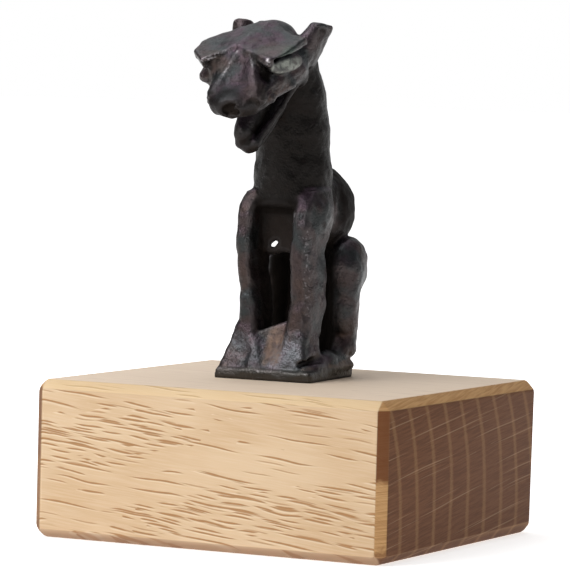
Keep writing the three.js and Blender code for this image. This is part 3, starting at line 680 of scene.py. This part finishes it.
def skin(depth, low, cell):
    """Closed quads through the cells that the surface crosses, one point to a cell."""
    cells = tuple(np.array(depth.shape) - 1)
    total, count = np.zeros((*cells, 3)), np.zeros(cells)
    for axis in range(3):
        u, v = (axis + 1) % 3, (axis + 2) % 3
        start = np.take(depth, range(cells[axis]), axis)
        end = np.take(depth, range(1, cells[axis] + 1), axis)
        crossed = (start < 0) != (end < 0)
        share = np.where(crossed, start / np.where(crossed, start - end, 1.0), 0.0)
        for du in (0, 1):
            for dv in (0, 1):
                window = [slice(None)] * 3
                window[u], window[v] = slice(du, du + cells[u]), slice(dv, dv + cells[v])
                here = crossed[tuple(window)]
                count += here
                total[..., axis] += share[tuple(window)]
                total[..., u] += du * here
                total[..., v] += dv * here
    active = np.argwhere(count > 0)
    number = np.full(cells, -1)
    number[tuple(active.T)] = np.arange(len(active))
    offset = total[tuple(active.T)] / count[tuple(active.T)][:, None]
    points = low + cell * (active + offset)
    quads = []
    for axis in range(3):
        u, v = (axis + 1) % 3, (axis + 2) % 3
        start = np.take(depth, range(cells[axis]), axis)
        end = np.take(depth, range(1, cells[axis] + 1), axis)
        edges = np.argwhere((start < 0) != (end < 0))
        outward = start[tuple(edges.T)] < 0
        corners = []
        for du, dv in ((-1, -1), (0, -1), (0, 0), (-1, 0)):
            around = edges.copy()
            around[:, u] += du
            around[:, v] += dv
            corners.append(number[tuple(around.T)])
        corners = np.stack(corners, 1)
        quads.append(np.where(outward[:, None], corners, corners[:, ::-1]))
    return points, np.concatenate(quads)


def sample(grid, points):
    """Values of a grid between its corners."""
    spot = (points - BEAST_LOW) / BEAST_CELL
    base = np.clip(np.floor(spot).astype(int), 0, np.array(grid.shape) - 2)
    share = np.clip(spot - base, 0, 1)
    total = 0.0
    for i in (0, 1):
        for j in (0, 1):
            for k in (0, 1):
                weight = np.prod(np.where((i, j, k), share, 1 - share), axis=1)
                total = total + weight * grid[base[:, 0] + i, base[:, 1] + j, base[:, 2] + k]
    return total


def softened(grid, passes):
    """The grid averaged with its neighbours, a number of times."""
    for _ in range(passes):
        for axis in range(3):
            grid = (np.roll(grid, 1, axis) + grid + np.roll(grid, -1, axis)) / 3
    return grid


points, quads = skin(depth, BEAST_LOW, BEAST_CELL)
near, wide = softened(depth, 2), softened(depth, 24)
ridge = sample(near - depth, points) / BEAST_CELL
bulge = sample(wide - depth, points) / BEAST_CELL
steps = np.eye(3) * BEAST_CELL
outward = np.stack([sample(near, points + step) - sample(near, points - step) for step in steps], 1)
outward /= np.maximum(np.linalg.norm(outward, axis=1), 1e-9)[:, None]

# Hand-worked wax: soft lumps, and creases across the sides of the muzzle.
waves = np.random.default_rng(11)


def lumps(points, length, height, count=18):
    """Soft swellings of about a length and height, as a sum of waves in random directions."""
    total = np.zeros(len(points))
    for _ in range(count):
        direction = waves.normal(size=3)
        direction *= 2 * math.pi / length / np.linalg.norm(direction) * waves.uniform(0.7, 1.4)
        total += np.sin(points @ direction + waves.uniform(0, 2 * math.pi))
    return total * height / math.sqrt(count)


def rising(value, low, high):
    """0 below low, 1 above high, smooth between."""
    t = np.clip((value - low) / (high - low), 0, 1)
    return t * t * (3 - 2 * t)


def falling(value, low, high):
    """1 below low, 0 above high, smooth between."""
    return 1 - rising(value, low, high)


CREASE_DEPTH = 0.07
CREASE_SPACING = 0.62
LEAST_SWELL, MOST_SWELL = -0.25, 0.15
FLAT_FOOT_BELOW = -1.45
f, u = in_head(points[:, 1], points[:, 2])
side = np.abs(points[:, 0])
on_plate = falling(points[:, 2], -0.2, 0.6)
creased = rising(side, 2.4, 3.2) * rising(f, 5.0, 6.5) * falling(f, 10.5, 11.8)
creased = creased * rising(u, 0.3, 0.9) * falling(u, 2.6, 3.4)
crease_turns = (u + 0.12 * f + 0.1 * side) / CREASE_SPACING
creases = creased * CREASE_DEPTH * np.sin(2 * math.pi * crease_turns)
swell = lumps(points, 5.0, 0.10) + lumps(points, 1.9, 0.045) + creases
swell *= 1 - on_plate * (points[:, 2] < -1.0)
points = points + outward * np.clip(swell, LEAST_SWELL, MOST_SWELL)[:, None]
foot = points[:, 2] < FLAT_FOOT_BELOW
points[:, 2] = np.where(foot, -PLATE_THICKNESS, np.maximum(points[:, 2], -PLATE_THICKNESS))
px, py, pz = points.T

within = points + (PLATE_MIDDLE[0], PLATE_MIDDLE[1] + BEAST_SET_BACK, PLATE_TOP_ABOVE_FLOOR)
figure_mesh = bpy.data.meshes.new("bronze_figure")
figure_mesh.from_pydata((within / 1000).tolist(), [], quads.tolist())
figure_mesh.validate()
figure_mesh.polygons.foreach_set("use_smooth", [True] * len(figure_mesh.polygons))
bronze_figure = bpy.data.objects.new("bronze_figure", figure_mesh)
bpy.context.scene.collection.objects.link(bronze_figure)

# Soil dried between the legs and on the hind toes, dark brown in the chest, and painted shadow behind the
# legs and on the ledge at the top of the chest hollow.
between_legs = falling(side, 2.2, 3.0) * rising(py, -9.2, -8.6) * falling(pz, 5.0, 7.5)
between_legs *= rising(px, -0.9, 0.3)
toe_light = falling(both_sides(hind_toe)(*points.T), 0.1, 0.3) * rising(pz, 0.1, 0.4)
soiled = np.maximum(between_legs * 0.9, 0.45 * toe_light)
recess = rising(py, -5.2, -3.8) * falling(pz, 25.0, 26.2) * falling(side, 4.4, 5.4)
shadow_behind_legs = rising(py, 0.5, 2.0) * falling(pz, 17.0, 20.0) * falling(side, 5.2, 6.2)
shadow_behind_legs *= 1 - rising(outward[:, 1], 0.1, 0.5) * rising(py, 8.0, 9.5)
ledge = falling(side, 3.4, 4.4) * rising(pz, 24.2, 24.8) * falling(pz, 26.6, 28.0)
shadow_behind_legs = np.maximum(shadow_behind_legs, 0.8 * ledge * (py < -2))

# Painted highlights: the pale fronts of the paws, where they face forward, and the mottled left eye, which
# is palest towards the front and partly its own pale grey-green.
paw_front_sheen = rising(-outward[:, 1], 0.72, 0.9) * falling(pz, 5.5, 7.5)
paw_front_sheen *= falling(join(0.1, left_paw, right_paw)(*points.T), 0.15, 0.4)
paw_front_sheen *= 0.45 + 0.55 * rising(px, -1, 1)
eye_height = u - EYE_SLOPE * (f - EYE_START)
eye_colour_and_highlight = falling(left_eye(px, f, u), 0.1, 0.4) * rising(px, 5.2, 6.2) * falling(eye_height, 4.0, 4.6)
eye_colour_and_highlight *= rising(eye_height, 1.9, 2.4) * (0.45 + 0.55 * rising(f, 0.2, 2.2))

# Bright metal along the nose ridges, the brows and the edges of the chest, and specks down the legs,
# on the hump and along the front edge of the plate: partly worn metal and partly painted glints.
nose_ridges = join(
    0.1, chain(0.1, [
        ((-0.6, 4.4, 6.6), 0.0), ((-1.8, 6.8, 4.8), 0.05), ((-2.5, 8.1, 3.7), 0.12),
        ((-2.8, 9.4, 2.9), 0.12)]),
    chain(0.1, [((1.5, 4.2, 6.7), 0.1), ((2.7, 6.8, 4.8), 0.08), ((3.4, 8.2, 3.7), 0.0)]),
    limb((-2.6, 4.7, 6.7), (-5.6, 7.5, 6.6), 0.0, 0.12), limb((5.9, 7.2, 7.1), (5.9, 7.2, 6.0), 0.2, 0.1))
rub_and_glint_lines = join(
    0.1, on_head(nose_ridges), limb((3.4, -6.7, 25.0), (3.1, -6.8, 22.5), 0.25, 0.0),
    limb((-6.3, -5.6, 26.0), (-6.7, -6.6, 23.5), 0.4, 0.1))
speck_and_glint_lines = join(
    0.1, chain(0.1, [
        ((5.6, -6.7, 22.5), 0.2), ((6.1, -6.8, 17.5), 0.3), ((6.4, -6.8, 12.5), 0.3),
        ((6.5, -6.6, 9.0), 0.2)]),
    limb((-6.5, -6.6, 20), (-5.6, -6.6, 12), 0.3, 0.3), limb((0, 10, 33), (0, 15, 27), 5.4, 4.5))
plate_lip = (1 - np.clip(np.abs(pz + 0.2) / 0.4, 0, 1)) * rising(-py, 9.0, 9.3)
worn_and_glinting = falling(rub_and_glint_lines(*points.T), 0.05, 0.3) * (0.5 + 0.5 * rising(ridge, 0.0, 0.02))
specks_and_glints = falling(speck_and_glint_lines(*points.T), 0.1, 0.6) * rising(ridge, 0.0, 0.03)

# Painted shade darkens the neck under the head, the lower snout, the hump and the front of the snout, and
# the nose is a little duller. The nostrils are painted nearly black as painted shade, and a little green
# shows by the left brow.
HEAD_ABOVE = 30
below_head = falling(u, -2.5, -1.0)
neck_shade = np.maximum(rising(pz, 25.0, 28.0), falling(side, 2.8, 3.8) * rising(pz, 21.0, 23.0))
snout_shade = rising(f, 10.6, 11.6) * falling(u, 1.7, 2.6) * rising(u, -3.0, -2.0) * (pz > HEAD_ABOVE)
neck_shade = np.maximum(neck_shade * below_head, snout_shade)
hump_shade = rising(py, 3.0, 6.5) * rising(pz, 20.0, 22.5) * below_head
hump_shade *= 1 - 0.7 * rising(outward[:, 1], 0.5, 0.9)
nose_dulled_and_snout_shade = 0.18 * rising(f, 4.5, 5.5) * falling(side, 3.2, 4.2) + 0.3 * rising(f, 8.6, 10.4)
shade_and_dulled = np.maximum(hump_shade, nose_dulled_and_snout_shade * rising(u, -1.5, 0.0) * (pz > HEAD_ABOVE))
nostril_painted_shade = falling(on_head(nostrils)(*points.T), 0.0, 0.35)
green = rising(f, 1.0, 2.5) * falling(f, 5.0, 6.5) * rising(px, 6.3, 7.6) * rising(u, 5.2, 5.8)
WORN_GAIN = 6.0
HOLLOW_SHADE_GAIN = 0.55
figure_marks = {
    "worn": np.clip(ridge * WORN_GAIN, 0, 1),
    "worn_and_glinting": np.clip(worn_and_glinting, 0, 1),
    "specks_and_glints": np.clip(np.maximum(specks_and_glints, plate_lip), 0, 1),
    "green": green,
    "shade": np.clip(neck_shade, 0, 1),
    "shade_and_dulled": np.clip(shade_and_dulled, 0, 1),
    "nostril": nostril_painted_shade,
    # The hollow mark is painted shade, strongest deep in broad hollows.
    "hollow": np.clip(-bulge * HOLLOW_SHADE_GAIN, 0, 1),
    "soil": np.clip(soiled, 0, 1),
    "recess": np.clip(recess, 0, 1),
    "slot_shadow": np.clip(shadow_behind_legs, 0, 1),
    "paw_front_sheen": paw_front_sheen,
    "eye": eye_colour_and_highlight,
    "plate": on_plate,
}
for name, values in figure_marks.items():
    figure_mesh.attributes.new(name, "FLOAT", "POINT").data.foreach_set("value", values.astype(np.float32))

bronze, bronze_shader, place = new_material("bronze")


def mark(name):
    """One of the figure's marks, as a value."""
    return place.node("ShaderNodeAttribute", 2, None, attribute_name=name)


# The patina: brown and slate in patches, and rust in places. What faces up is painted a lighter plum and
# slate as a painted sheen from the lamps above.
PATINA_BROWN, PATINA_SLATE = (0.050, 0.037, 0.036), (0.034, 0.037, 0.037)
SHEEN_PLUM, SHEEN_SLATE = (0.070, 0.048, 0.064), (0.048, 0.054, 0.058)
RUST = (0.066, 0.044, 0.036)
NECK_SHADE_DARK = (0.013, 0.0115, 0.0105)
SHADE_AND_DULL_DARK = (0.016, 0.0145, 0.0145)
UNDERSIDE_SHADE = (0.012, 0.009, 0.008)
GRIME = (0.020, 0.016, 0.016)
marks = [mark(name) for name in figure_marks]
worn, rub_and_glint, speck_and_glint, green_tint, shade, dim, nostril_shade = marks[:7]
hollow, soil, brown, slot_shadow, paw, pale_and_lit_eye, rim = marks[7:]
skyward = place.node("ShaderNodeNewGeometry", 1).parts()[2]
patches = place.noise(4.0, 3.0)
slate_patches = patches.rise(0.40, 0.62)
drift = place.noise(7.0, 2.0)
grit = place.noise(0.5, 3.0, 0.65)
grimy = place.noise(0.45, 3.0, 0.7).rise(0.50, 0.66)
dull = slate_patches.tinted(PATINA_BROWN, PATINA_SLATE)
upward_sheen = slate_patches.tinted(SHEEN_PLUM, SHEEN_SLATE)
bronze_colour = skyward.rise(-0.05, 0.6).tinted(dull, upward_sheen)
bronze_colour = (drift.rise(0.50, 0.62) * 0.5).tinted(bronze_colour, RUST)
# Painted shade: the neck under the head and the lower snout are painted darker, except where they face up.
bronze_colour = (shade * (1.0 - skyward.rise(0.1, 0.6))).tinted(bronze_colour, NECK_SHADE_DARK)
# Painted shade on the hump and the front of the snout, and a little duller colour on the nose.
bronze_colour = (dim * 0.8).tinted(bronze_colour, SHADE_AND_DULL_DARK)
# Painted shade: what faces down is painted darker.
bronze_colour = (1.0 - skyward.rise(-0.45, -0.05)).tinted(bronze_colour, UNDERSIDE_SHADE)
bronze_colour = (grimy * 0.45).tinted(bronze_colour, GRIME)

# What lies on the patina: dried soil, dark brown in the chest recess and green at the brow. Painted light
# lies
# on it too: black painted shadow behind the legs, painted shade in the hollows, and the fronts of the paws
# and the left eye painted pale as painted highlights, the eye being partly its own pale grey-green.
DRIED_SOIL = (0.26, 0.175, 0.13)
RECESS_BROWN = (0.017, 0.010, 0.007)
SLOT_SHADOW_BLACK = (0.0015, 0.0008, 0.0005)
HOLLOW_SHADE_BLACK = (0.007, 0.005, 0.004)
PAW_SHEEN_GREY = (0.16, 0.16, 0.175)
EYE_PALE_AND_LIT = (0.30, 0.315, 0.28)
NOSTRIL_SHADE_BLACK = (0.012, 0.008, 0.006)
PLATE_OLIVE = (0.052, 0.048, 0.038)
VERDIGRIS = (0.03, 0.085, 0.055)
crumbs = place.noise(1.1, 3.0).rise(0.35, 0.62) * 0.6 + 0.35
mottle = place.noise(0.9, 3.0).rise(0.40, 0.60) * 0.65 + 0.3
bronze_colour = (soil * crumbs).tinted(bronze_colour, DRIED_SOIL)
bronze_colour = (brown * 0.9).tinted(bronze_colour, RECESS_BROWN)
# Painted shadow: behind the legs and on the chest's ledge is painted nearly black.
bronze_colour = (slot_shadow * 0.98).tinted(bronze_colour, SLOT_SHADOW_BLACK)
# Painted shade in the hollows.
bronze_colour = (hollow.rise(0.15, 0.8) * 0.75).tinted(bronze_colour, HOLLOW_SHADE_BLACK)
# Painted highlight: the paws' forward faces are painted pale grey.
bronze_colour = (paw * grit.rise(0.25, 0.65) * 0.6).tinted(bronze_colour, PAW_SHEEN_GREY)
# The left eye's pale grey-green is partly its own colour and partly a painted highlight.
bronze_colour = (pale_and_lit_eye * mottle).tinted(bronze_colour, EYE_PALE_AND_LIT)
# Painted shade: the nostrils are painted nearly black.
bronze_colour = (nostril_shade * 0.9).tinted(bronze_colour, NOSTRIL_SHADE_BLACK)
bronze_colour = (rim * 0.7).tinted(bronze_colour, PLATE_OLIVE)
bronze_colour = (green_tint * 0.35).tinted(bronze_colour, VERDIGRIS)

# Wear: a grey sheen on the ridges, and bright metal where hands have worn it or the casting is nicked. The
# bright metal is partly painted glints.
WORN_GREY = (0.16, 0.15, 0.155)
BARE_METAL_GLINT = (0.50, 0.47, 0.49)
specks = place.noise(0.42, 2.0).rise(0.56, 0.68)
broken = place.noise(0.75, 3.0, 0.7).rise(0.42, 0.56)
wear_and_glint = (rub_and_glint * broken).math("MAXIMUM", speck_and_glint * specks * 0.26)
bronze_colour = (worn.rise(0.15, 0.7) * 0.16).tinted(bronze_colour, WORN_GREY)
bronze_colour = (wear_and_glint * 0.8).tinted(bronze_colour, BARE_METAL_GLINT)
bronze.node_tree.links.new(bronze_colour.socket, bronze_shader.inputs["Base Color"])
matt_marks = soil + brown + slot_shadow + pale_and_lit_eye
bronze_roughness = 0.31 + grit * 0.14 + matt_marks * 0.25
bronze.node_tree.links.new(bronze_roughness.socket, bronze_shader.inputs["Roughness"])
bronze_metal = 0.85 - matt_marks * 0.6
bronze.node_tree.links.new(bronze_metal.socket, bronze_shader.inputs["Metallic"])
bronze_shader.inputs["Specular IOR Level"].default_value = 0.3
pits = place.noise(0.9, 2.0).rise(0.6, 0.72)
bronze_height = grit + place.noise(0.3, 2.0) * 0.7 + patches * 0.6 - pits * 0.5
bronze_bump = bronze_height.node(
    "ShaderNodeBump", 0, {"Height": bronze_height, "Strength": 0.75, "Distance": 0.00012})
bronze.node_tree.links.new(bronze_bump.socket, bronze_shader.inputs["Normal"])

# A second, matt near-black shader gives painted shade behind the legs, on the neck, on the hump, nose and
# snout and in deep hollows, and dull dirt in the chest recess.
SHADE_AND_DIRT_BLACK = (0.006, 0.004, 0.003)
shade_and_dirt_shader = place.node("ShaderNodeBsdfPrincipled").socket.node
shade_and_dirt_shader.inputs["Base Color"].default_value = (*SHADE_AND_DIRT_BLACK, 1.0)
shade_and_dirt_shader.inputs["Roughness"].default_value = 0.9
shade_and_dirt_shader.inputs["Specular IOR Level"].default_value = 0.1
shaded_below = shade * (1.0 - skyward.rise(-0.3, 0.3))
shade_and_dirt_share = slot_shadow.math("MAXIMUM", brown * 0.45).math("MAXIMUM", shaded_below * 0.5)
shade_and_dirt_share = shade_and_dirt_share.math("MAXIMUM", dim * 0.85).math("MAXIMUM", hollow.rise(0.3, 0.9) * 0.6)
with_shade_and_dirt = shade_and_dirt_share.node("ShaderNodeMixShader", 0, {
    0: shade_and_dirt_share, 1: Link(place.tree, bronze_shader.outputs[0]), 2: Link(place.tree, shade_and_dirt_shader.outputs[0])})
bronze.node_tree.links.new(with_shade_and_dirt.socket, bronze.node_tree.nodes["Material Output"].inputs["Surface"])
figure_mesh.materials.append(bronze)
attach(bronze_figure, "root")
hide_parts("figure")
